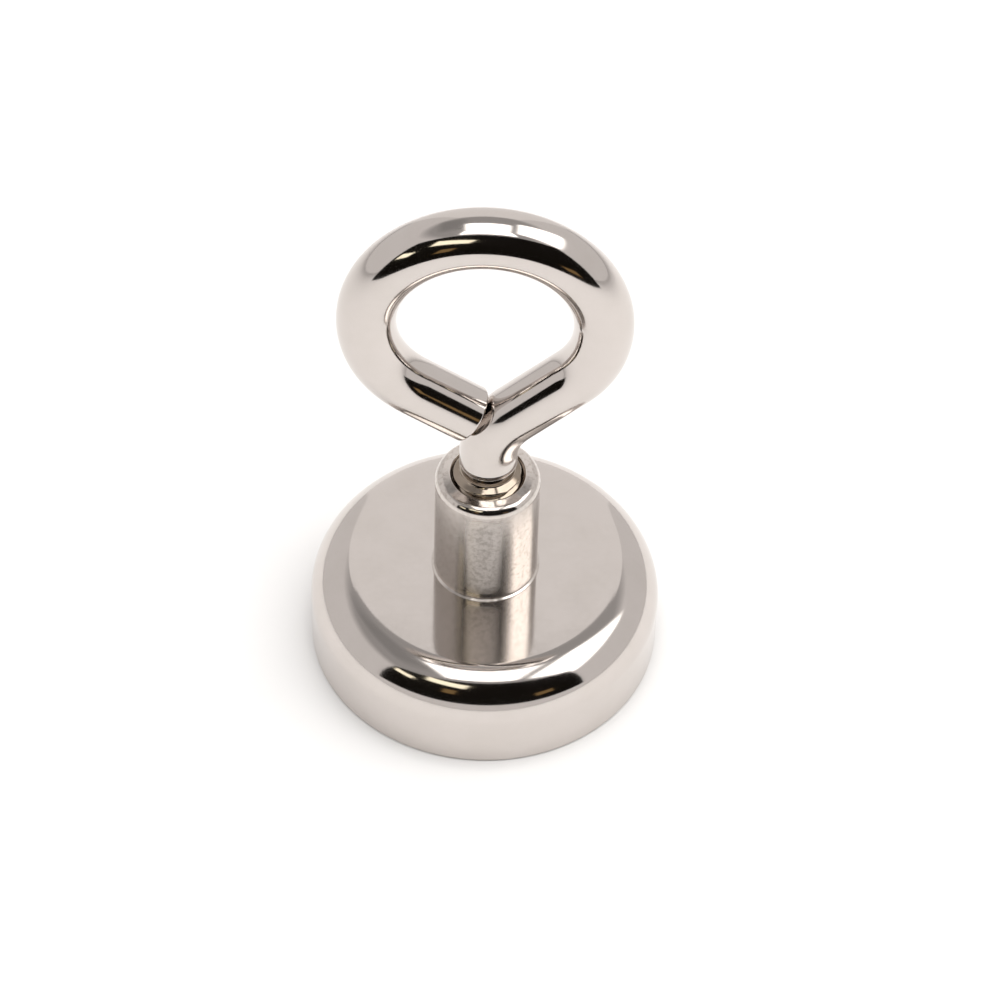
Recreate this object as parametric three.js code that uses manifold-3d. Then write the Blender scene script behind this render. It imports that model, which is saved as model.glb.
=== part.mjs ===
// A round pot magnet for magnet fishing: a plated steel pot with a disc magnet bonded inside it,
// a threaded bush riveted through the middle of the pot, and a bent wire eye bolt for the rope.
// Millimetres, +Z up along the bush. The origin is the centre of the pulling face, which lies at Z = 0,
// and the eye lies in the XZ plane, so the rope passes through it along Y.

import * as THREE from "three";
import { mergeVertices } from "three/addons/utils/BufferGeometryUtils.js";
import Module from "manifold-3d";

const wasm = await Module();
wasm.setup();

// Pot: a turned steel cup, open at the bottom.
const potRadius = 12.5;
const potHeight = 7.15;
const potShoulderRadius = 3.2;
const potBoreRadius = 10.6;
const potPlate = 2.4;
const potInnerCorner = 0.6;
const rimChamfer = 0.25;

// Bush: a threaded barrel whose spigot passes through the pot and is spread below the plate.
const bushRadius = 3.68;
const bushHeight = 9.48;
const bushTopRounding = 0.68;
const bushCrown = THREE.MathUtils.degToRad(12);
const bushFootFlare = 0.25;
const bushFootHeight = 0.15;
const spigotRadius = 3.2;
const spigotHeadRadius = 3.7;
const spigotHeadDepth = 0.5;
const boreRadius = 2.5;
const mouthRadius = 2.65;
const mouthDepth = 0.15;

// Magnet and the resin that holds it.
const magnetRadius = 9.8;
const magnetThickness = 4.25;
const magnetChamfer = 0.3;
const faceRecess = 0.1;
const resinRecess = 0.2;

// Eye bolt: one length of wire, bent to an eye, with its straight end threaded.
const wireRadius = 2.025;
const eyeRadius = 7.9;
const eyeCentreX = -0.47;
const eyeCentreZ = 31.4;
const shankCornerRadius = 6.4;
const freeCornerRadius = 7.4;
const eyeCornerStart = THREE.MathUtils.degToRad(14);
const shankLegLean = THREE.MathUtils.degToRad(45.7);
const freeLegLean = THREE.MathUtils.degToRad(56);
const freeLegLength = 4.7;
const neckBendRadius = 5.6;
const shoulderHeight = 17.95;
const neckRadius = 1.9;
const neckLength = 0.75;
const shankRadius = 2.4;
const shankRoot = 1;
const shankTip = 7.2;
const shankTipChamfer = 0.4;

// Clearance between pieces that rest on, or stand inside, each other.
const seatGap = 0.05;

// Facets of the turned pieces, the bends and the wire.
const turnSegments = 64;
const bushSegments = 48;
const roundingSteps = 3;
const shoulderSteps = 5;
const wireSides = 16;
const wireSteps = 64;

const bushTop = potHeight + bushHeight;
const plateUnderside = potHeight - potPlate;

const nickel = new THREE.MeshStandardMaterial({ color: 0xd2ccc6, roughness: 0.12, metalness: 1 });
const satinNickel = new THREE.MeshStandardMaterial({ color: 0xc8c1b8, roughness: 0.25, metalness: 1 });
const magnetPlating = new THREE.MeshStandardMaterial({ color: 0xb4b2ae, roughness: 0.3, metalness: 1 });
const resin = new THREE.MeshStandardMaterial({ color: 0x26262a, roughness: 0.5, metalness: 0 });

// Turns a closed outline of (radius, height) about the Z axis.
function turned(outline, segments, arcSteps) {
  const points = outline.getPoints(arcSteps);
  const geometry = new THREE.LatheGeometry(points, segments);
  geometry.rotateX(Math.PI / 2);
  return geometry;
}

function steelPot() {
  const outline = new THREE.Path();
  outline.moveTo(potBoreRadius + rimChamfer, 0);
  outline.lineTo(potRadius - rimChamfer, 0);
  outline.lineTo(potRadius, rimChamfer);
  outline.lineTo(potRadius, potHeight - potShoulderRadius);
  outline.absarc(
    potRadius - potShoulderRadius, potHeight - potShoulderRadius, potShoulderRadius, 0, Math.PI / 2, false,
  );
  outline.lineTo(spigotRadius + seatGap, potHeight);
  outline.lineTo(spigotRadius + seatGap, plateUnderside + spigotHeadDepth);
  outline.lineTo(spigotHeadRadius + seatGap, plateUnderside);
  outline.lineTo(potBoreRadius - potInnerCorner, plateUnderside);
  outline.lineTo(potBoreRadius, plateUnderside - potInnerCorner);
  outline.lineTo(potBoreRadius, rimChamfer);
  outline.closePath();
  return turned(outline, turnSegments, shoulderSteps);
}

// The bush's end falls outwards a little, from the countersunk mouth to the rounded edge.
function threadedBush() {
  const foot = potHeight + seatGap;
  const roundingCentre = bushRadius - bushTopRounding;
  const fall = (roundingCentre - mouthRadius) * Math.tan(bushCrown);
  const roundingZ = bushTop - fall - bushTopRounding / Math.cos(bushCrown);
  const outline = new THREE.Path();
  outline.moveTo(boreRadius, plateUnderside);
  outline.lineTo(spigotHeadRadius, plateUnderside);
  outline.lineTo(spigotRadius, plateUnderside + spigotHeadDepth);
  outline.lineTo(spigotRadius, foot);
  outline.lineTo(bushRadius + bushFootFlare, foot);
  outline.lineTo(bushRadius, foot + bushFootHeight);
  outline.lineTo(bushRadius, roundingZ);
  outline.absarc(roundingCentre, roundingZ, bushTopRounding, 0, Math.PI / 2 - bushCrown, false);
  outline.lineTo(mouthRadius, bushTop);
  outline.lineTo(boreRadius, bushTop - mouthDepth);
  outline.closePath();
  return turned(outline, bushSegments, roundingSteps);
}

function discMagnet() {
  const top = faceRecess + magnetThickness;
  const outline = new THREE.Path();
  outline.moveTo(0, faceRecess);
  outline.lineTo(magnetRadius - magnetChamfer, faceRecess);
  outline.lineTo(magnetRadius, faceRecess + magnetChamfer);
  outline.lineTo(magnetRadius, top - magnetChamfer);
  outline.lineTo(magnetRadius - magnetChamfer, top);
  outline.lineTo(0, top);
  return turned(outline, turnSegments, roundingSteps);
}

// The resin poured round the magnet, from just inside the rim to the magnet's back.
function resinRing() {
  const inner = magnetRadius + seatGap;
  const outer = potBoreRadius - seatGap;
  const top = faceRecess + magnetThickness - potInnerCorner;
  const outline = new THREE.Path();
  outline.moveTo(inner, faceRecess + resinRecess);
  outline.lineTo(outer, faceRecess + resinRecess);
  outline.lineTo(outer, top);
  outline.lineTo(inner, top);
  outline.closePath();
  return turned(outline, turnSegments, roundingSteps);
}

// The layer of adhesive between the magnet's back and the pot.
function resinBed() {
  const bottom = faceRecess + magnetThickness + seatGap;
  const top = plateUnderside - seatGap;
  const outline = new THREE.Path();
  outline.moveTo(0, bottom);
  outline.lineTo(magnetRadius - potInnerCorner, bottom);
  outline.lineTo(magnetRadius - potInnerCorner, top);
  outline.lineTo(0, top);
  return turned(outline, turnSegments, roundingSteps);
}

// A flat run of wire in the XZ plane, walked like a bender's list: straights, and bends of a
// radius and an angle, a positive angle turning from +X towards +Z.
class BentWire extends THREE.Curve {
  constructor(start, heading) {
    super();
    this.start = start;
    this.heading = heading;
    this.pieces = [];
    this.total = 0;
  }

  straight(length) {
    this.pieces.push({ length, turn: 0 });
    this.total += length;
    return this;
  }

  bend(radius, angle) {
    const length = radius * Math.abs(angle);
    this.pieces.push({ length, turn: angle / length });
    this.total += length;
    return this;
  }

  getPoint(share, target = new THREE.Vector3()) {
    let left = share * this.total;
    let heading = this.heading;
    let x = this.start.x;
    let z = this.start.y;
    for (const piece of this.pieces) {
      const run = Math.min(left, piece.length);
      const swing = piece.turn * run;
      const chord = swing === 0 ? run : 2 * Math.sin(swing / 2) / piece.turn;
      x += chord * Math.cos(heading + swing / 2);
      z += chord * Math.sin(heading + swing / 2);
      heading += swing;
      left -= run;
    }
    return target.set(x, 0, z);
  }
}

// The wire from the shoulder up the shank, round the eye and down the free leg. The eye is an arc
// of more than half a turn, a tighter arc at each lower side, and a straight leg after each.
function eyeWirePath() {
  const upright = Math.PI / 2;
  const inset = eyeRadius - shankCornerRadius;
  const cornerX = eyeCentreX + inset * Math.cos(eyeCornerStart);
  const cornerZ = eyeCentreZ - inset * Math.sin(eyeCornerStart);
  const legTopX = cornerX + shankCornerRadius * Math.cos(shankLegLean);
  const legTopZ = cornerZ - shankCornerRadius * Math.sin(shankLegLean);
  const elbowZ = legTopZ - legTopX / Math.tan(shankLegLean);
  const elbowTangent = neckBendRadius * Math.tan(shankLegLean / 2);
  const path = new BentWire(new THREE.Vector2(0, shoulderHeight), upright);
  path.straight(elbowZ - elbowTangent - shoulderHeight);
  path.bend(neckBendRadius, -shankLegLean);
  path.straight(legTopX / Math.sin(shankLegLean) - elbowTangent);
  path.bend(shankCornerRadius, shankLegLean - eyeCornerStart);
  path.bend(eyeRadius, Math.PI + 2 * eyeCornerStart);
  path.bend(freeCornerRadius, freeLegLean - eyeCornerStart);
  path.straight(freeLegLength);
  return path;
}

function eyeWire() {
  const section = new THREE.Shape();
  for (let side = 0; side < wireSides; side += 1) {
    const angle = (2 * Math.PI * side) / wireSides;
    const x = wireRadius * Math.cos(angle);
    const y = wireRadius * Math.sin(angle);
    if (side === 0) {
      section.moveTo(x, y);
    } else {
      section.lineTo(x, y);
    }
  }
  section.closePath();
  return new THREE.ExtrudeGeometry(section, { steps: wireSteps, extrudePath: eyeWirePath() });
}

// The threaded end of the wire, as a plain rod with a thinner neck below the shoulder. It starts
// a little way up inside the wire, so that the two are joined as one solid.
function threadedShank() {
  const threadTop = shoulderHeight - neckLength;
  const outline = new THREE.Path();
  outline.moveTo(0, shankTip);
  outline.lineTo(shankRadius - shankTipChamfer, shankTip);
  outline.lineTo(shankRadius, shankTip + shankTipChamfer);
  outline.lineTo(shankRadius, threadTop - shankTipChamfer);
  outline.lineTo(neckRadius, threadTop);
  outline.lineTo(neckRadius, shoulderHeight + shankRoot);
  outline.lineTo(0, shoulderHeight + shankRoot);
  return turned(outline, wireSides, roundingSteps);
}

function solidFrom(geometry) {
  const bare = geometry.clone();
  bare.deleteAttribute("normal");
  bare.deleteAttribute("uv");
  const merged = mergeVertices(bare, 1e-4);
  const vertProperties = new Float32Array(merged.attributes.position.array);
  const triVerts = new Uint32Array(merged.index.array);
  return new wasm.Manifold(new wasm.Mesh({ numProp: 3, vertProperties, triVerts }));
}

function geometryFrom(solid) {
  const mesh = solid.getMesh();
  const geometry = new THREE.BufferGeometry();
  geometry.setAttribute("position", new THREE.BufferAttribute(new Float32Array(mesh.vertProperties), 3));
  geometry.setIndex(new THREE.BufferAttribute(new Uint32Array(mesh.triVerts), 1));
  geometry.computeVertexNormals();
  return geometry;
}

function eyeBolt() {
  return geometryFrom(solidFrom(eyeWire()).add(solidFrom(threadedShank())));
}

function named(name, geometry, material) {
  const mesh = new THREE.Mesh(geometry, material);
  mesh.name = name;
  return mesh;
}

const magnetBase = new THREE.Group();
magnetBase.add(named("steel_pot", steelPot(), nickel));
magnetBase.add(named("threaded_bush", threadedBush(), satinNickel));
magnetBase.add(named("disc_magnet", discMagnet(), magnetPlating));
magnetBase.add(named("resin_ring", resinRing(), resin));
magnetBase.add(named("resin_bed", resinBed(), resin));

const fishingMagnet = new THREE.Group();
fishingMagnet.add(magnetBase);
fishingMagnet.add(named("eye_bolt", eyeBolt(), nickel));

export default fishingMagnet;
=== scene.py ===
"""Magnet fishing magnet: the fine surfaces, the finishes and the studio, built round the CAD frame.

Run as a script, it makes every piece in turn. Its sizes and colours are settings in the panel. The
pot, magnet and resin take their heights and outer radii from the frame, and the bush its height.
"""

from math import acos, atan2, ceil, cos, pi, radians, sin, tan

import bmesh
import bpy
from bpy.props import FloatProperty, FloatVectorProperty, IntProperty, PointerProperty
from bpy.types import Operator, Panel, PropertyGroup
from mathutils import Matrix, Vector


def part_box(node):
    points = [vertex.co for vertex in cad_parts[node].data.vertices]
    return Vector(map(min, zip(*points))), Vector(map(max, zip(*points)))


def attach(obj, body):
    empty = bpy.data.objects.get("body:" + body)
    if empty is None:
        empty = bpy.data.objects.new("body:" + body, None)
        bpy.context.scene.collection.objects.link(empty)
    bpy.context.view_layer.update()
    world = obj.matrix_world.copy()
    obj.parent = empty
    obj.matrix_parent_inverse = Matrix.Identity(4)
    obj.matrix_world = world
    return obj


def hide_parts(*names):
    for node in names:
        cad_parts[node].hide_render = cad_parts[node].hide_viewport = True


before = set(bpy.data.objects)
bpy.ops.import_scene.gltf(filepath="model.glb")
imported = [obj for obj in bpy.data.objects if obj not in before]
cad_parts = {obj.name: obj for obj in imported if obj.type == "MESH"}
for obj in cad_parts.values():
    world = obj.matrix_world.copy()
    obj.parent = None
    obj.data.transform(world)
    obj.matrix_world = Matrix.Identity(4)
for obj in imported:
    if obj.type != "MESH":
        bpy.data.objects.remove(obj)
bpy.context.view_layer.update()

bl_info = {
    "name": "Fishing magnet",
    "version": (1, 0, 0),
    "blender": (4, 5, 0),
    "location": "View3D > Sidebar > Magnet",
    "description": "Makes a pot magnet with a threaded bush and a bent wire eye bolt",
    "category": "Object",
}

MM = 0.001

# A rounding has a point every few degrees, or closer where it is large.
ARC_STEP = radians(6)
ARC_CHORD = 0.15 * MM
# Extra points this far from the ends of a straight keep it flat when it is shaded smooth.
HOLD = 0.04 * MM
# Points closer than this are one point.
WELD = 0.0005 * MM
# A thread's flanks stand this far from its axis.
THREAD_FLANK = radians(60)


def length(name, description, millimetres):
    """A length setting, given in millimetres and kept in metres."""
    return FloatProperty(
        name=name,
        description=description,
        default=millimetres * MM,
        unit="LENGTH",
        subtype="DISTANCE",
        precision=5,
    )


def angle(name, description, in_degrees):
    """An angle setting, given in degrees."""
    return FloatProperty(name=name, description=description, default=radians(in_degrees), subtype="ANGLE")


def colour(name, description, default):
    """A colour setting."""
    return FloatVectorProperty(
        name=name, description=description, default=default, size=3, min=0, max=1, subtype="COLOR"
    )


class PotSizes(PropertyGroup):
    """Sizes of the steel pot. Its diameter and height come from the frame."""

    shoulder: length("Shoulder", "Rounding between the wall and the flat top", 3.2)
    bore: length("Bore radius", "Radius of the space for the magnet", 10.6)
    plate: length("Plate", "Thickness of the pot's top", 2.4)
    inner_corner: length("Inner corner", "Rounding inside, under the plate", 0.6)
    rim_edge: length("Rim edge", "Rounding of the rim's two edges", 0.22)
    bush_hole: length("Bush hole radius", "Radius of the hole for the bush", 3.25)
    head_recess: length("Head recess radius", "Radius of the cone for the bush's spread end", 3.75)
    head_depth: length("Head depth", "Depth of that cone", 0.5)
    steps: IntProperty(name="Steps", description="Facets round the pot", default=256, min=24)


class BushSizes(PropertyGroup):
    """Sizes of the threaded bush. Its height comes from the frame."""

    radius: length("Radius", "Radius of the barrel", 3.68)
    top_edge: length("Top edge", "Rounding between the barrel and its end", 0.68)
    crown: angle("Crown", "How far the end falls outwards", 12.0)
    mouth: length("Mouth radius", "Radius of the countersink at the end", 2.65)
    mouth_edge: length("Mouth edge", "Rounding of the countersink's edge", 0.06)
    mouth_depth: length("Mouth depth", "Depth of the countersink", 0.15)
    bore: length("Bore radius", "Radius inside the thread", 2.5)
    groove: length("Groove", "Depth of the thread's groove", 0.2)
    foot_flare: length("Foot flare", "How far the foot stands out", 0.25)
    foot_height: length("Foot height", "Height of the flared foot", 0.14)
    foot_edge: length("Foot edge", "Rounding of the foot's edge", 0.03)
    spigot: length("Spigot radius", "Radius of the part inside the pot's plate", 3.2)
    head: length("Head radius", "Radius of the end spread under the plate", 3.7)
    head_depth: length("Head depth", "Depth of that end", 0.5)
    plate: length("Plate", "Thickness of the plate that it is riveted in", 2.4)
    steps: IntProperty(name="Steps", description="Facets round the bush", default=192, min=24)


class CoreSizes(PropertyGroup):
    """Sizes of the magnet and the resin. Their radii and heights come from the frame."""

    magnet_edge: length("Magnet edge", "Rounding of the magnet's edges", 0.3)
    meniscus: length("Meniscus", "How far the resin's surface dips between its edges", 0.09)
    resin_edge: length("Resin edge", "Rounding of the resin's hidden edges", 0.08)
    steps: IntProperty(name="Steps", description="Facets round the magnet", default=192, min=24)


class EyeSizes(PropertyGroup):
    """The eye bolt's bending list and its threaded end. The wire lies in the XZ plane."""

    wire: length("Wire radius", "Radius of the wire", 2.025)
    shoulder_height: length("Shoulder height", "Height at which the full wire starts", 17.95)
    eye_radius: length("Eye radius", "Bend radius of the eye, at the wire's middle", 7.9)
    eye_centre_x: length("Eye centre X", "Where the eye's centre is, sideways", -0.47)
    eye_centre_z: length("Eye centre Z", "Height of the eye's centre", 31.4)
    shank_corner: length("Shank corner", "Bend radius where the eye joins the shank's leg", 6.4)
    free_corner: length("Free corner", "Bend radius where the eye joins the free leg", 7.4)
    corner_start: angle("Corner start", "How far below the eye's middle the corners start", 14.0)
    shank_lean: angle("Shank leg lean", "Lean of the leg above the shank", 45.7)
    free_lean: angle("Free leg lean", "Lean of the free leg", 56.0)
    free_length: length("Free leg length", "Straight length of the free leg", 4.7)
    neck_bend: length("Neck bend", "Bend radius above the shoulder", 5.6)
    cut_edge: length("Cut edge", "Rounding of the wire's cut end", 0.16)
    shoulder_edge: length("Shoulder edge", "Rounding of the shoulder", 0.35)
    neck: length("Neck radius", "Radius of the neck under the shoulder", 1.9)
    neck_length: length("Neck length", "Length of the neck", 0.75)
    neck_root: length("Neck root", "Fillet between the neck and the shoulder", 0.12)
    crest: length("Crest radius", "Outer radius of the thread", 2.42)
    root: length("Root radius", "Inner radius of the thread", 1.98)
    pitch: length("Pitch", "Rise of the thread in one turn", 0.8)
    thread_start: FloatProperty(
        name="Thread start", description="How far round the thread is turned, in turns", default=0.19
    )
    sides: IntProperty(name="Sides", description="Facets round the wire", default=72, min=12)
    bend_step: angle("Bend step", "Turn of each facet along a bend", 2.0)


class FinishColours(PropertyGroup):
    """Base colours of the finishes."""

    nickel: colour("Bright nickel", "Bright nickel plating", (0.660, 0.612, 0.582))
    nickel_haze: colour("Nickel haze", "The plating where it is a little clouded", (0.630, 0.585, 0.550))
    # Painted shade: this dark brown is laid on the thread and neck below the shoulder, standing in for the
    # shade in the crevice at the bush's mouth.
    painted_shade: colour("Painted shade", "The thread and neck, darkened as by oil", (0.27, 0.21, 0.15))
    satin: colour("Satin nickel", "Nickel over the turned bush", (0.67, 0.62, 0.58))
    satin_dark: colour("Satin dark", "The bush's darker grains", (0.50, 0.45, 0.41))
    # Painted highlight: this paler colour is laid on a band on the front of the bush, standing in for the
    # overhead light's sheen there.
    painted_highlight: colour("Pale band", "The paler, duller band on the front of the bush", (0.88, 0.83, 0.80))
    magnet: colour("Magnet", "The magnet's plating", (0.62, 0.61, 0.59))
    magnet_dull: colour("Magnet dull", "The magnet's plating where it is rubbed", (0.48, 0.47, 0.46))
    resin: colour("Resin", "Cured potting resin", (0.022, 0.022, 0.025))
    resin_pale: colour("Resin pale", "The resin's paler clouds", (0.045, 0.045, 0.05))


class StudioSettings(PropertyGroup):
    """The floor, the light tent and the camera."""

    floor: colour("Floor", "The paper that the magnet stands on", (0.82, 0.815, 0.81))
    tent: colour("Tent", "Tint of the tent's cloth", (1.0, 0.97, 0.955))
    wall_strength: FloatProperty(name="Walls", description="Brightness of the tent's walls", default=0.76)
    back_strength: FloatProperty(name="Back", description="Brightness of the wall behind", default=0.93)
    ceiling_strength: FloatProperty(
        name="Ceiling", description="Brightness of the tent's ceiling", default=0.4
    )
    panel_strength: FloatProperty(
        name="Panels", description="Brightness of the overhead panels", default=3.2
    )
    floor_light: FloatProperty(
        name="Floor light",
        description="Power of the soft light overhead that mirror reflections leave out",
        default=2.0,
        unit="POWER",
    )
    camera_aim: FloatVectorProperty(
        name="Camera aim", description="Point that the camera looks at", size=3,
        default=(0.9 * MM, 0.0, 13.78 * MM), unit="LENGTH", subtype="XYZ", precision=5,
    )
    camera_distance: length("Camera distance", "From the camera to that point", 250.0)
    camera_height: angle("Camera height", "The camera's angle above the floor", 48.54)
    camera_roll: angle("Camera roll", "The camera's turn about its own axis", 1.867)
    camera_lens: FloatProperty(
        name="Camera lens", description="Focal length on a 36 mm sensor", default=128.47, unit="CAMERA"
    )


class MagnetSettings(PropertyGroup):
    """Everything that the panel shows."""

    pot: PointerProperty(type=PotSizes)
    bush: PointerProperty(type=BushSizes)
    core: PointerProperty(type=CoreSizes)
    eye: PointerProperty(type=EyeSizes)
    colours: PointerProperty(type=FinishColours)
    studio: PointerProperty(type=StudioSettings)


# Outlines and turning


def rounded_corner(before, corner, after, radius):
    """The points of the arc that rounds a corner of an outline."""
    back = (before - corner).normalized()
    ahead = (after - corner).normalized()
    opening = acos(max(-1.0, min(1.0, back.dot(ahead))))
    turn = pi - opening
    tangent = radius * tan(turn / 2)
    centre = corner + (back + ahead).normalized() * (radius / sin(opening / 2))
    first = corner + back * tangent - centre
    last = corner + ahead * tangent - centre
    start = atan2(first.y, first.x)
    swing = (atan2(last.y, last.x) - start + pi) % (2 * pi) - pi
    steps = max(ceil(abs(swing) / ARC_STEP), ceil(abs(swing) * radius / ARC_CHORD))
    return [
        centre + radius * Vector((cos(start + swing * step / steps), sin(start + swing * step / steps)))
        for step in range(steps + 1)
    ]


def rounded_outline(corners, closed):
    """An outline of (radius, height) points from corners given as (radius, height, rounding)."""
    places = [Vector(corner[:2]) for corner in corners]
    count = len(corners)
    points = []
    for index, corner in enumerate(corners):
        inner = closed or 0 < index < count - 1
        if corner[2] > 0 and inner:
            arc = rounded_corner(places[index - 1], places[index], places[(index + 1) % count], corner[2])
        else:
            arc = [places[index]]
        if points:
            points += held(points[-1], arc[0])
        points += arc
    if closed:
        points += held(points[-1], points[0])
    return points


def held(start, end):
    """Two points just inside the ends of a straight, where it is long enough."""
    run = end - start
    if run.length < 4 * HOLD:
        return []
    return [start + run.normalized() * HOLD, end - run.normalized() * HOLD]


def turned(outline, closed, steps):
    """A bmesh of an outline spun once round the Z axis."""
    bm = bmesh.new()
    verts = [bm.verts.new((point.x, 0.0, point.y)) for point in outline]
    pairs = list(zip(verts, verts[1:]))
    if closed:
        pairs.append((verts[-1], verts[0]))
    edges = [bm.edges.new(pair) for pair in pairs]
    bmesh.ops.spin(
        bm, geom=verts + edges, cent=(0, 0, 0), axis=(0, 0, 1), angle=2 * pi, steps=steps, use_merge=True
    )
    bmesh.ops.remove_doubles(bm, verts=bm.verts, dist=WELD)
    bmesh.ops.recalc_face_normals(bm, faces=bm.faces)
    return bm


def finished(bm, name, material, body, slot, *nodes):
    """Makes the object of a bmesh, hangs it on the empty of what it rides on, and hides the nodes that it
    stands for.
    """
    for face in bm.faces:
        face.smooth = True
    mesh = bpy.data.meshes.new(name)
    bm.to_mesh(mesh)
    bm.free()
    mesh.materials.append(material)
    piece = bpy.data.objects.new(name, mesh)
    bpy.context.scene.collection.objects.link(piece)
    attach(piece, body)
    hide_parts(*nodes)


# Threads


def tooth(share):
    """Height of a 60 degree thread, from 0 at its root to 1 at its crest, along one pitch."""
    crest_flat = 0.0625
    flank = 0.3125
    from_crest = abs(share - 0.5)
    return max(0.0, min(1.0, 1 - (from_crest - crest_flat) / flank))


def cut_thread(bm, lowest, highest, pitch, turned_by, start, depth, end):
    """Moves the rings of a plain stretch out along a right-hand helix.

    The thread rises from the start radius by its depth. Its two ends are chamfered from the end radius,
    at the slope of its flanks.
    """
    for vert in bm.verts:
        place = vert.co
        radius = place.xy.length
        if not (lowest - WELD < place.z < highest + WELD and abs(radius - start) < WELD):
            continue
        share = (place.z / pitch - atan2(place.y, place.x) / (2 * pi) + turned_by) % 1.0
        chamfer = end + tan(THREAD_FLANK) * max(0.0, min(highest - place.z, place.z - lowest))
        vert.co.xy *= min(start + depth * tooth(share), chamfer) / radius


def ring_heights(start, end, pitch, rings_per_turn=20):
    """Heights of the rings that a thread needs, between two heights."""
    count = ceil(abs(end - start) / pitch * rings_per_turn)
    return [start + (end - start) * step / count for step in range(1, count)]


# Materials


def add_node(tree, kind, inputs=None, **settings):
    """Adds a shader node with its settings and its inputs' values."""
    node = tree.nodes.new(kind)
    for name, value in settings.items():
        setattr(node, name, value)
    for name, value in (inputs or {}).items():
        node.inputs[name].default_value = value
    return node


def new_finish(name, metallic):
    """A material with its Principled shader, its tree and its object coordinates."""
    material = bpy.data.materials.new(name)
    material.use_nodes = True
    tree = material.node_tree
    shader = tree.nodes["Principled BSDF"]
    shader.inputs["Metallic"].default_value = metallic
    place = add_node(tree, "ShaderNodeTexCoord").outputs["Object"]
    return material, tree, shader, place


def noise(tree, place, scale, detail=3.0, rough=0.55):
    """A noise pattern at a scale in cycles per metre."""
    node = add_node(
        tree, "ShaderNodeTexNoise", {"Scale": scale, "Detail": detail, "Roughness": rough}
    )
    tree.links.new(place, node.inputs["Vector"])
    return node.outputs["Fac"]


def spread(tree, value, low, high, to_low=0.0, to_high=1.0):
    """Maps a value from one range to another, and clamps it."""
    node = add_node(
        tree,
        "ShaderNodeMapRange",
        {"From Min": low, "From Max": high, "To Min": to_low, "To Max": to_high},
    )
    tree.links.new(value, node.inputs["Value"])
    return node.outputs["Result"]


def split_place(tree, place):
    """The X, Y and Z of a place, by name."""
    split = add_node(tree, "ShaderNodeSeparateXYZ")
    tree.links.new(place, split.inputs["Vector"])
    return split.outputs


def multiplied(tree, first, second):
    """The product of two values."""
    node = add_node(tree, "ShaderNodeMath", operation="MULTIPLY")
    tree.links.new(first, node.inputs[0])
    tree.links.new(second, node.inputs[1])
    return node.outputs["Value"]


def blend_colours(tree, share, first, second):
    """Mixes two colours by a share."""
    node = add_node(tree, "ShaderNodeMix", data_type="RGBA")
    tree.links.new(share, node.inputs["Factor"])
    node.inputs["A"].default_value = (*first, 1)
    node.inputs["B"].default_value = (*second, 1)
    return node.outputs["Result"]


def turning_lines(tree, place, scale):
    """Fine rings about the Z axis, as a lathe leaves them on walls and faces."""
    flat = add_node(tree, "ShaderNodeVectorMath", operation="MULTIPLY")
    flat.inputs[1].default_value = (1, 1, 0)
    tree.links.new(place, flat.inputs[0])
    radius = add_node(tree, "ShaderNodeVectorMath", operation="LENGTH")
    tree.links.new(flat.outputs["Vector"], radius.inputs[0])
    axes = split_place(tree, place)
    joined = add_node(tree, "ShaderNodeCombineXYZ")
    tree.links.new(radius.outputs["Value"], joined.inputs["X"])
    tree.links.new(axes["Z"], joined.inputs["Y"])
    return noise(tree, joined.outputs["Vector"], scale, detail=2.0)


def bump(tree, height, distance, under=None):
    """A bump from a height pattern, over another bump where one is given."""
    node = add_node(tree, "ShaderNodeBump", {"Strength": 1.0, "Distance": distance})
    tree.links.new(height, node.inputs["Height"])
    if under:
        tree.links.new(under, node.inputs["Normal"])
    return node.outputs["Normal"]


def bright_nickel(name, colours, turning, painted_shade_below=None):
    """Bright plating with soft waves, haze and fine grain, and turning lines or painted shade below a
    height where asked for.
    """
    smoothest = 0.07
    roughest = 0.12
    wave_height = 0.004 * MM
    grain_height = 0.0006 * MM
    shade_blur = 0.3 * MM
    material, tree, shader, place = new_finish(name, 1.0)
    haze = noise(tree, place, 260.0, detail=8.0, rough=0.72)
    tone = blend_colours(tree, spread(tree, haze, 0.4, 0.7), colours.nickel, colours.nickel_haze)
    # Painted shade: below that height the colour turns to the shade colour, a little unevenly by the haze.
    if painted_shade_below:
        axes = split_place(tree, place)
        painted_shade = add_node(tree, "ShaderNodeMix", data_type="RGBA")
        height = spread(tree, axes["Z"], painted_shade_below - shade_blur, painted_shade_below, 1.0, 0.0)
        uneven = spread(tree, haze, 0.2, 0.6, 1.0, 0.7)
        tree.links.new(multiplied(tree, height, uneven), painted_shade.inputs["Factor"])
        tree.links.new(tone, painted_shade.inputs["A"])
        painted_shade.inputs["B"].default_value = (*colours.painted_shade, 1)
        tone = painted_shade.outputs["Result"]
    tree.links.new(tone, shader.inputs["Base Color"])
    tree.links.new(spread(tree, haze, 0.35, 0.75, smoothest, roughest), shader.inputs["Roughness"])
    waves = bump(tree, noise(tree, place, 420.0, detail=1.0), wave_height)
    grain = bump(tree, noise(tree, place, 5200.0, detail=3.0), grain_height, waves)
    if turning:
        grain = bump(tree, turning_lines(tree, place, 9000.0), turning, grain)
    tree.links.new(grain, shader.inputs["Normal"])
    return material


def front_band(tree, x, y, left, right, blur):
    """One on the front of a round piece, between two angles from -Y, and nothing elsewhere."""
    forward = add_node(tree, "ShaderNodeMath", operation="MULTIPLY")
    forward.inputs[1].default_value = -1
    tree.links.new(y, forward.inputs[0])
    turn = add_node(tree, "ShaderNodeMath", operation="ARCTAN2")
    tree.links.new(x, turn.inputs[0])
    tree.links.new(forward.outputs["Value"], turn.inputs[1])
    rise = spread(tree, turn.outputs["Value"], left - blur, left + blur)
    fall = spread(tree, turn.outputs["Value"], right - blur, right + blur, 1.0, 0.0)
    return multiplied(tree, rise, fall)


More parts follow.
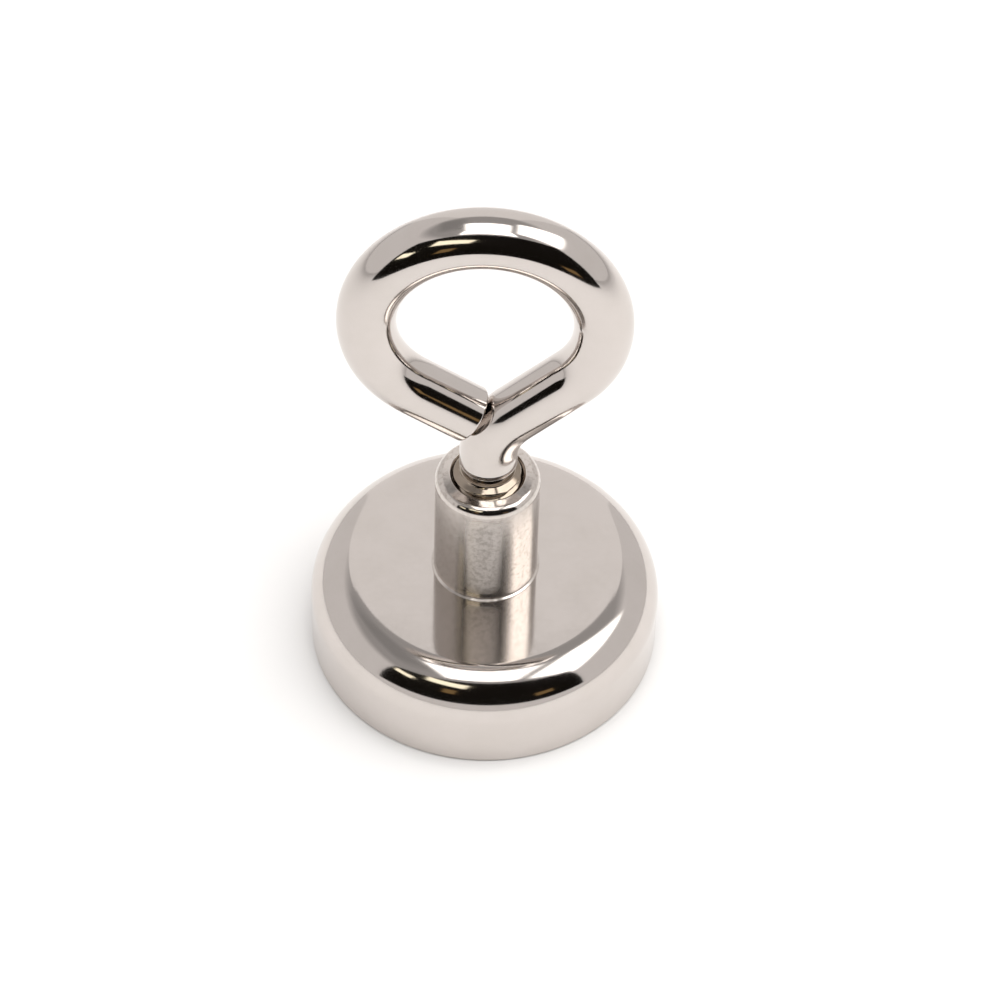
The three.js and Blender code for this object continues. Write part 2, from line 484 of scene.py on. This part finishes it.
def satin_nickel(name, colours, foot, end):
    """Plating over a turned barrel: fine rings and specks, a painted highlight as a paler, rougher band in
    front, and a bright end.
    """
    # The painted highlight's band lies between two angles from -Y. It fades in above the foot and out
    # below the end.
    band_left = radians(-17)
    band_right = radians(12)
    band_blur = radians(8)
    fade_in_from = foot + 0.4 * MM
    fade_in_to = foot + 1.4 * MM
    fade_out_from = end - 1.5 * MM
    fade_out_to = end - 0.3 * MM
    roughness = 0.22
    band_roughness = 0.62
    # Within these heights the end and the foot get smoother, down to half the roughness.
    smooth_end_height = 0.5 * MM
    smooth_foot_height = 0.1 * MM
    speck_height = 0.002 * MM
    ring_height = 0.0016 * MM
    material, tree, shader, place = new_finish(name, 1.0)
    axes = split_place(tree, place)
    band = front_band(tree, axes["X"], axes["Y"], band_left, band_right, band_blur)
    below_end = spread(tree, axes["Z"], fade_out_from, fade_out_to, 1.0, 0.0)
    above_foot = spread(tree, axes["Z"], fade_in_from, fade_in_to)
    # Painted highlight: within the band the colour turns paler and the plating rougher.
    highlight_share = multiplied(tree, band, multiplied(tree, below_end, above_foot))
    speckle = noise(tree, place, 3400.0, detail=4.0, rough=0.65)
    tone = blend_colours(tree, spread(tree, speckle, 0.5, 0.72), colours.satin, colours.satin_dark)
    highlight_tone = blend_colours(tree, spread(tree, speckle, 0.42, 0.62), colours.painted_highlight, colours.satin)
    banded = add_node(tree, "ShaderNodeMix", data_type="RGBA")
    tree.links.new(highlight_share, banded.inputs["Factor"])
    tree.links.new(tone, banded.inputs["A"])
    tree.links.new(highlight_tone, banded.inputs["B"])
    tree.links.new(banded.outputs["Result"], shader.inputs["Base Color"])
    dull = spread(tree, highlight_share, 0.0, 1.0, roughness, band_roughness)
    smooth_end = spread(tree, axes["Z"], end - smooth_end_height, end, 1.0, 0.5)
    smooth_foot = spread(tree, axes["Z"], foot, foot + smooth_foot_height, 0.5, 1.0)
    rough = multiplied(tree, dull, multiplied(tree, smooth_end, smooth_foot))
    tree.links.new(rough, shader.inputs["Roughness"])
    shader.inputs["Anisotropic"].default_value = 0.85
    shader.inputs["Anisotropic Rotation"].default_value = 0.25
    around = add_node(tree, "ShaderNodeTangent", direction_type="RADIAL", axis="Z")
    tree.links.new(around.outputs["Tangent"], shader.inputs["Tangent"])
    grain = bump(tree, speckle, speck_height)
    rings = bump(tree, turning_lines(tree, place, 7000.0), ring_height, grain)
    tree.links.new(rings, shader.inputs["Normal"])
    return material


def magnet_plating(name, colours):
    """Dull plating on the magnet's face: clouds, grain and handling scratches."""
    scratch_turn = radians(35)
    scratch_stretch = 24
    scratch_height = 0.002 * MM
    grain_height = 0.003 * MM
    material, tree, shader, place = new_finish(name, 1.0)
    clouds = noise(tree, place, 320.0, detail=5.0, rough=0.6)
    stretched = add_node(tree, "ShaderNodeMapping")
    stretched.inputs["Rotation"].default_value = (0, 0, scratch_turn)
    stretched.inputs["Scale"].default_value = (1, scratch_stretch, 1)
    tree.links.new(place, stretched.inputs["Vector"])
    scratches = noise(tree, stretched.outputs["Vector"], 420.0, detail=2.0)
    tone = blend_colours(tree, spread(tree, clouds, 0.4, 0.7), colours.magnet, colours.magnet_dull)
    tree.links.new(tone, shader.inputs["Base Color"])
    tree.links.new(spread(tree, clouds, 0.3, 0.7, 0.24, 0.4), shader.inputs["Roughness"])
    grain = bump(tree, noise(tree, place, 4200.0, detail=3.0), grain_height)
    tree.links.new(bump(tree, scratches, scratch_height, grain), shader.inputs["Normal"])
    return material


def potting_resin(name, colours):
    """Cured dark resin: slightly uneven, with faint clouds."""
    unevenness = 0.02 * MM
    material, tree, shader, place = new_finish(name, 0.0)
    clouds = noise(tree, place, 700.0, detail=4.0)
    tone = blend_colours(tree, spread(tree, clouds, 0.35, 0.7), colours.resin, colours.resin_pale)
    tree.links.new(tone, shader.inputs["Base Color"])
    tree.links.new(spread(tree, clouds, 0.3, 0.7, 0.28, 0.5), shader.inputs["Roughness"])
    tree.links.new(bump(tree, noise(tree, place, 1500.0), unevenness), shader.inputs["Normal"])
    return material


# Pieces


class MAGNET_OT_steel_pot(Operator):
    """Turns the steel pot: a cup, open below, with a broad rounding on its shoulder"""

    bl_idname = "magnet.steel_pot"
    bl_label = "Steel pot"

    def execute(self, context):
        sizes = context.scene.fishing_magnet.pot
        low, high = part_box("steel_pot")
        radius = high.x
        plate_under = high.z - sizes.plate
        corners = [
            (sizes.bore, low.z, sizes.rim_edge),
            (radius, low.z, sizes.rim_edge),
            (radius, high.z, sizes.shoulder),
            (sizes.bush_hole, high.z, 0),
            (sizes.bush_hole, plate_under + sizes.head_depth, 0),
            (sizes.head_recess, plate_under, 0),
            (sizes.bore, plate_under, sizes.inner_corner),
        ]
        bm = turned(rounded_outline(corners, True), True, sizes.steps)
        material = bright_nickel("pot_nickel", context.scene.fishing_magnet.colours, 0.0002 * MM)
        finished(bm, "pot_shell", material, "magnet_base", "nickel_plate", "steel_pot")
        return {"FINISHED"}


class MAGNET_OT_threaded_bush(Operator):
    """Turns the bush: a barrel with a crowned end, a flared foot and a threaded bore"""

    bl_idname = "magnet.threaded_bush"
    bl_label = "Threaded bush"

    def execute(self, context):
        sizes = context.scene.fishing_magnet.bush
        eye = context.scene.fishing_magnet.eye
        low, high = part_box("threaded_bush")
        foot = low.z + sizes.plate
        edge_height = high.z - (sizes.radius - sizes.mouth) * tan(sizes.crown)
        bore_top = high.z - sizes.mouth_depth
        outside = [
            (sizes.bore, low.z, 0),
            (sizes.head, low.z, 0),
            (sizes.spigot, low.z + sizes.head_depth, 0),
            (sizes.spigot, foot, 0),
            (sizes.radius + sizes.foot_flare, foot, sizes.foot_edge),
            (sizes.radius, foot + sizes.foot_height, sizes.foot_edge),
            (sizes.radius, edge_height, sizes.top_edge),
            (sizes.mouth, high.z, sizes.mouth_edge),
            (sizes.bore, bore_top, 0),
        ]
        outline = rounded_outline(outside, False)
        outline += [Vector((sizes.bore, height)) for height in ring_heights(bore_top, low.z, eye.pitch)]
        bm = turned(outline, True, sizes.steps)
        cut_thread(bm, low.z, bore_top, eye.pitch, eye.thread_start, sizes.bore, sizes.groove, sizes.bore)
        foot_top = foot + sizes.foot_height
        colours = context.scene.fishing_magnet.colours
        material = satin_nickel("bush_nickel", colours, foot_top, high.z - sizes.top_edge)
        finished(bm, "bush_body", material, "magnet_base", "satin_nickel", "threaded_bush")
        return {"FINISHED"}


class MAGNET_OT_disc_magnet(Operator):
    """Turns the disc magnet, with its rounded, plated edges"""

    bl_idname = "magnet.disc_magnet"
    bl_label = "Disc magnet"

    def execute(self, context):
        sizes = context.scene.fishing_magnet.core
        low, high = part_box("disc_magnet")
        corners = [
            (0, low.z, 0),
            (high.x, low.z, sizes.magnet_edge),
            (high.x, high.z, sizes.magnet_edge),
            (0, high.z, 0),
        ]
        bm = turned(rounded_outline(corners, False), False, sizes.steps)
        material = magnet_plating("magnet_face", context.scene.fishing_magnet.colours)
        finished(bm, "magnet_disc", material, "magnet_base", "magnet_plating", "disc_magnet")
        return {"FINISHED"}


class MAGNET_OT_resin(Operator):
    """Casts the resin: the ring round the magnet, with a dipped surface, and the bed behind it"""

    bl_idname = "magnet.resin"
    bl_label = "Resin"

    def execute(self, context):
        settings = context.scene.fishing_magnet
        sizes = settings.core
        low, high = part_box("resin_ring")
        magnet_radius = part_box("disc_magnet")[1].x
        inner = magnet_radius + (settings.pot.bore - high.x)
        middle = (inner + high.x) / 2
        corners = [
            (inner, low.z, 0),
            (middle, low.z + sizes.meniscus, (high.x - inner) / 2),
            (high.x, low.z, 0),
            (high.x, high.z, sizes.resin_edge),
            (inner, high.z, sizes.resin_edge),
        ]
        material = potting_resin("resin_dark", settings.colours)
        ring = turned(rounded_outline(corners, True), True, sizes.steps)
        finished(ring, "resin_collar", material, "magnet_base", "resin", "resin_ring")
        low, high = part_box("resin_bed")
        corners = [
            (0, low.z, 0),
            (high.x, low.z, sizes.resin_edge),
            (high.x, high.z, sizes.resin_edge),
            (0, high.z, 0),
        ]
        bed = turned(rounded_outline(corners, False), False, sizes.steps)
        finished(bed, "resin_backing", material, "magnet_base", "resin", "resin_bed")
        return {"FINISHED"}


class WireBender:
    """Feeds and bends a ring of edges, as a wire bender does, in the XZ plane."""

    def __init__(self, bm, start, sides, radius):
        self.bm = bm
        self.place = Vector(start)
        self.heading = pi / 2
        ring = bmesh.ops.create_circle(
            bm, segments=sides, radius=radius, matrix=Matrix.Translation(self.place)
        )
        self.ring = list({edge for vert in ring["verts"] for edge in vert.link_edges})

    def ahead(self):
        """The way that the wire is going."""
        return Vector((cos(self.heading), 0.0, sin(self.heading)))

    def push(self, run, shrink=1.0):
        """Feeds the ring forwards once, and makes it smaller where the wire ends."""
        made = bmesh.ops.extrude_edge_only(self.bm, edges=self.ring)["geom"]
        verts = {item for item in made if isinstance(item, bmesh.types.BMVert)}
        edges = [item for item in made if isinstance(item, bmesh.types.BMEdge)]
        self.ring = [edge for edge in edges if verts.issuperset(edge.verts)]
        step = self.ahead() * run
        self.place += step
        bmesh.ops.translate(self.bm, verts=list(verts), vec=step)
        bmesh.ops.scale(
            self.bm, verts=list(verts), vec=(shrink, shrink, shrink), space=Matrix.Translation(-self.place)
        )

    def straight(self, run):
        """Feeds a straight run, with a short facet at each end to keep it straight."""
        for part in (HOLD, run - 2 * HOLD, HOLD):
            self.push(part)

    def bend(self, radius, turn, step):
        """Bends the wire about a centre at its side; a positive turn goes from +X towards +Z."""
        side = 1 if turn > 0 else -1
        across = Vector((-sin(self.heading), 0.0, cos(self.heading)))
        centre = self.place + across * radius * side
        steps = ceil(abs(turn) / step)
        made = bmesh.ops.spin(
            self.bm, geom=self.ring, cent=centre, axis=(0, 1, 0), angle=-turn, steps=steps
        )["geom_last"]
        self.ring = [item for item in made if isinstance(item, bmesh.types.BMEdge)]
        self.place = centre + Matrix.Rotation(-turn, 3, "Y") @ (self.place - centre)
        self.heading += turn

    def cut(self, radius, edge, step):
        """Rounds the edge of the wire's end and closes it with a face."""
        steps = ceil(pi / 2 / step)
        turns = [pi / 2 * count / steps for count in range(steps + 1)]
        for last, turn in zip(turns, turns[1:]):
            shrink = (radius - edge + edge * cos(turn)) / (radius - edge + edge * cos(last))
            self.push(edge * (sin(turn) - sin(last)), shrink)
        self.push(0, 1 - HOLD / (radius - edge))
        bmesh.ops.contextual_create(self.bm, geom=self.ring)


def bend_eye(bm, sizes):
    """Bends the wire from above the shoulder up the shank, round the eye and down the free leg."""
    inset = sizes.eye_radius - sizes.shank_corner
    corner_x = sizes.eye_centre_x + inset * cos(sizes.corner_start)
    corner_z = sizes.eye_centre_z - inset * sin(sizes.corner_start)
    leg_top_x = corner_x + sizes.shank_corner * cos(sizes.shank_lean)
    leg_top_z = corner_z - sizes.shank_corner * sin(sizes.shank_lean)
    elbow_z = leg_top_z - leg_top_x / tan(sizes.shank_lean)
    elbow_tangent = sizes.neck_bend * tan(sizes.shank_lean / 2)
    start = sizes.shoulder_height + sizes.shoulder_edge
    wire = WireBender(bm, (0, 0, start), sizes.sides, sizes.wire)
    step = sizes.bend_step
    wire.straight(elbow_z - elbow_tangent - start)
    wire.bend(sizes.neck_bend, -sizes.shank_lean, step)
    wire.straight(leg_top_x / sin(sizes.shank_lean) - elbow_tangent)
    wire.bend(sizes.shank_corner, sizes.shank_lean - sizes.corner_start, step)
    wire.bend(sizes.eye_radius, pi + 2 * sizes.corner_start, step)
    wire.bend(sizes.free_corner, sizes.free_lean - sizes.corner_start, step)
    wire.straight(sizes.free_length - sizes.cut_edge)
    wire.cut(sizes.wire, sizes.cut_edge, ARC_STEP)


def turn_shank(sizes, tip):
    """The shoulder, the neck and the threaded end, up to where the full wire starts."""
    start = sizes.shoulder_height + sizes.shoulder_edge
    thread_top = sizes.shoulder_height - sizes.neck_length
    upper = rounded_outline(
        [
            (sizes.wire, start + HOLD, 0),
            (sizes.wire, sizes.shoulder_height, sizes.shoulder_edge - HOLD),
            (sizes.neck, sizes.shoulder_height, sizes.neck_root),
            (sizes.neck, thread_top + HOLD, 0),
        ],
        False,
    )[1:]
    rings = [thread_top, *ring_heights(thread_top, tip, sizes.pitch), tip]
    threaded = [Vector((sizes.root, height)) for height in rings]
    bm = turned(upper + threaded + [Vector((0, tip))], False, sizes.sides)
    depth = sizes.crest - sizes.root
    cut_thread(bm, tip, thread_top, sizes.pitch, sizes.thread_start, sizes.root, depth, sizes.neck)
    return bm


class MAGNET_OT_eye_bolt(Operator):
    """Bends the wire eye and turns its shoulder, neck and thread"""

    bl_idname = "magnet.eye_bolt"
    bl_label = "Eye bolt"

    def execute(self, context):
        sizes = context.scene.fishing_magnet.eye
        bm = turn_shank(sizes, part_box("eye_bolt")[0].z)
        bend_eye(bm, sizes)
        bmesh.ops.remove_doubles(bm, verts=bm.verts, dist=WELD)
        bmesh.ops.recalc_face_normals(bm, faces=bm.faces)
        colours = context.scene.fishing_magnet.colours
        # The wire gets painted shade on its thread and neck, below the shoulder.
        material = bright_nickel("wire_nickel", colours, 0, painted_shade_below=sizes.shoulder_height)
        finished(bm, "eye_wire", material, "eye", "nickel_plate", "eye_bolt")
        return {"FINISHED"}


# Studio


def glow(name, tint, strength, fade=0.0):
    """A light-giving material. It can fade out over a share of the card's width and depth at its edges."""
    material = bpy.data.materials.new(name)
    material.use_nodes = True
    tree = material.node_tree
    tree.nodes.clear()
    lamp = add_node(tree, "ShaderNodeEmission", {"Color": (*tint, 1), "Strength": strength})
    surface = lamp.outputs["Emission"]
    if fade:
        place = add_node(tree, "ShaderNodeTexCoord").outputs["Generated"]
        axes = split_place(tree, place)
        shares = []
        for axis in ("X", "Y"):
            shares.append(spread(tree, axes[axis], 0.0, fade))
            shares.append(spread(tree, axes[axis], 1.0 - fade, 1.0, 1.0, 0.0))
        whole = shares[0]
        for share in shares[1:]:
            whole = multiplied(tree, whole, share)
        clear = add_node(tree, "ShaderNodeBsdfTransparent")
        mix = add_node(tree, "ShaderNodeMixShader")
        tree.links.new(whole, mix.inputs["Fac"])
        tree.links.new(clear.outputs["BSDF"], mix.inputs[1])
        tree.links.new(surface, mix.inputs[2])
        surface = mix.outputs["Shader"]
    out = add_node(tree, "ShaderNodeOutputMaterial")
    tree.links.new(surface, out.inputs["Surface"])
    return material


def card(name, corners, material, casts=True):
    """A flat card of the light tent, which the camera doesn't see.

    It casts light on matt surfaces too, unless that is switched off. Then only reflections show it.
    """
    bm = bmesh.new()
    bm.faces.new([bm.verts.new(Vector(corner) * MM) for corner in corners])
    mesh = bpy.data.meshes.new(name)
    bm.to_mesh(mesh)
    bm.free()
    mesh.materials.append(material)
    piece = bpy.data.objects.new(name, mesh)
    bpy.context.scene.collection.objects.link(piece)
    piece.visible_camera = False
    piece.visible_shadow = False
    piece.visible_diffuse = casts


def facing_card(name, centre, wide, high, toward, material):
    """A small card with its middle at a point, facing another point."""
    middle = Vector(centre)
    out = (Vector(toward) - middle).normalized()
    right = out.cross(Vector((0, 0, 1))).normalized() * wide / 2
    up = right.cross(out).normalized() * high / 2
    corners = [middle - right - up, middle + right - up, middle + right + up, middle - right + up]
    card(name, corners, material, casts=False)


class MAGNET_OT_studio(Operator):
    """Lays the floor, hangs the light tent's panels and sets the camera"""

    bl_idname = "magnet.studio"
    bl_label = "Studio"

    def execute(self, context):
        studio = context.scene.fishing_magnet.studio
        self.floor(studio)
        self.walls(context, studio)
        self.panels(context, studio)
        self.camera(context, studio)
        context.scene.view_settings.view_transform = "Standard"
        return {"FINISHED"}

    def floor(self, studio):
        """The paper, reaching this many metres each way."""
        reach = 3.0
        bm = bmesh.new()
        bmesh.ops.create_grid(bm, x_segments=1, y_segments=1, size=reach)
        mesh = bpy.data.meshes.new("floor_paper")
        bm.to_mesh(mesh)
        bm.free()
        material = bpy.data.materials.new("floor_paper")
        material.use_nodes = True
        shader = material.node_tree.nodes["Principled BSDF"]
        shader.inputs["Base Color"].default_value = (*studio.floor, 1)
        shader.inputs["Roughness"].default_value = 0.9
        shader.inputs["Specular IOR Level"].default_value = 0.1
        mesh.materials.append(material)
        piece = bpy.data.objects.new("floor_paper", mesh)
        bpy.context.scene.collection.objects.link(piece)

    def walls(self, context, studio):
        """The tent's cloth all round, with its ceiling from this far above the horizon."""
        ceiling_from = radians(47)
        blur = 0.05
        world = bpy.data.worlds.new("light_tent")
        world.use_nodes = True
        tree = world.node_tree
        place = add_node(tree, "ShaderNodeTexCoord").outputs["Generated"]
        edge = sin(ceiling_from)
        share = spread(tree, split_place(tree, place)["Z"], edge - blur, edge + blur)
        wall = [value * studio.wall_strength for value in studio.tent]
        ceiling = [value * studio.ceiling_strength for value in studio.tent]
        tree.links.new(blend_colours(tree, share, wall, ceiling), tree.nodes["Background"].inputs["Color"])
        context.scene.world = world

    def panels(self, context, studio):
        """The tent's cards. Their corners and sizes are in millimetres."""
        white = (1.0, 0.99, 0.97)
        ceiling = 300
        aim = (0, 0, 15)
        soft_white = glow("panel_white", white, studio.panel_strength, fade=0.12)
        back = glow("wall_back", studio.tent, studio.back_strength)
        grey = glow("ceiling_grey", studio.tent, 0.3, fade=0.25)
        dark = glow("opening_dark", (0.02, 0.016, 0.012), 0.3)
        cream = glow("lamp_cream", (1.0, 0.93, 0.72), 1.7)
        amber = glow("lamp_amber", (0.6, 0.38, 0.16), 0.4)
        top = [(-78, -92, ceiling), (78, -92, ceiling), (78, 58, ceiling), (-78, 58, ceiling)]
        card("top_panel", top, soft_white)
        front = [(-24, -34.5, 98), (24, -34.5, 98), (76, -86, ceiling), (-76, -86, ceiling)]
        card("panel_front", front, glow("panel_plain", white, studio.panel_strength), casts=False)
        side = [(180, -95, 165), (180, 100, 165), (88, 100, ceiling), (88, -95, ceiling)]
        card("side_panel", side, soft_white)
        shade = [(-175, -70, 285), (-175, 200, 285), (-60, 200, 302), (-60, -70, 302)]
        card("side_shade", shade, grey)
        wall = [(-70, 150, 0), (70, 150, 0), (70, 150, 209), (-70, 150, 209)]
        card("back_wall", wall, back)
        opening = [(-103, -65, 20), (103, -65, 20), (91, -49, 111), (-91, -49, 111)]
        card("tent_opening", opening, dark, casts=False)
        facing_card("lamp_left", (-21.5, -46.5, 71.5), 27, 13, aim, cream)
        facing_card("lamp_far_left", (-46, -38.5, 54.5), 13, 8, aim, cream)
        facing_card("glint_low", (-19, -55, 46.5), 8, 11, aim, amber)
        facing_card("glint_right", (40, -56, 34.5), 12, 8, aim, amber)
        self.floor_light(context, studio)

    def floor_light(self, context, studio):
        """A soft light overhead that mirror reflections leave out, so mostly the floor shows it."""
        width = 0.5
        height = 0.6
        data = bpy.data.lights.new("floor_light", "AREA")
        data.shape = "DISK"
        data.size = width
        data.energy = studio.floor_light
        lamp = bpy.data.objects.new("floor_light", data)
        lamp.location = (0, 0, height)
        lamp.visible_glossy = False
        lamp.visible_camera = False
        context.scene.collection.objects.link(lamp)

    def camera(self, context, studio):
        data = bpy.data.cameras.new("camera")
        data.lens = studio.camera_lens
        data.sensor_width = 36
        data.clip_start = 0.01
        data.clip_end = 20
        camera = bpy.data.objects.new("camera", data)
        context.scene.collection.objects.link(camera)
        tilt = Matrix.Rotation(pi / 2 - studio.camera_height, 4, "X")
        roll = Matrix.Rotation(studio.camera_roll, 4, "Z")
        back = tilt.to_3x3() @ Vector((0, 0, studio.camera_distance))
        camera.matrix_world = Matrix.Translation(Vector(studio.camera_aim) + back) @ tilt @ roll
        context.scene.camera = camera


# Panel and start


class VIEW3D_PT_fishing_magnet(Panel):
    """Lists the magnet's operators and settings"""

    bl_label = "Fishing magnet"
    bl_idname = "VIEW3D_PT_fishing_magnet"
    bl_space_type = "VIEW_3D"
    bl_region_type = "UI"
    bl_category = "Magnet"

    def draw(self, context):
        settings = context.scene.fishing_magnet
        for operator in OPERATORS:
            self.layout.operator(operator.bl_idname)
        for name in ("pot", "bush", "core", "eye", "colours", "studio"):
            box = self.layout.box()
            box.label(text=name.capitalize())
            group = getattr(settings, name)
            for setting in group.__annotations__:
                box.prop(group, setting)


GROUPS = (PotSizes, BushSizes, CoreSizes, EyeSizes, FinishColours, StudioSettings, MagnetSettings)
OPERATORS = (
    MAGNET_OT_studio,
    MAGNET_OT_steel_pot,
    MAGNET_OT_threaded_bush,
    MAGNET_OT_disc_magnet,
    MAGNET_OT_resin,
    MAGNET_OT_eye_bolt,
)
CLASSES = GROUPS + OPERATORS + (VIEW3D_PT_fishing_magnet,)


def register():
    for item in CLASSES:
        bpy.utils.register_class(item)
    bpy.types.Scene.fishing_magnet = PointerProperty(type=MagnetSettings)


def unregister():
    del bpy.types.Scene.fishing_magnet
    for item in reversed(CLASSES):
        bpy.utils.unregister_class(item)


def main():
    register()
    bpy.ops.magnet.studio()
    bpy.ops.magnet.steel_pot()
    bpy.ops.magnet.threaded_bush()
    bpy.ops.magnet.disc_magnet()
    bpy.ops.magnet.resin()
    bpy.ops.magnet.eye_bolt()


if __name__ == "__main__":
    main()
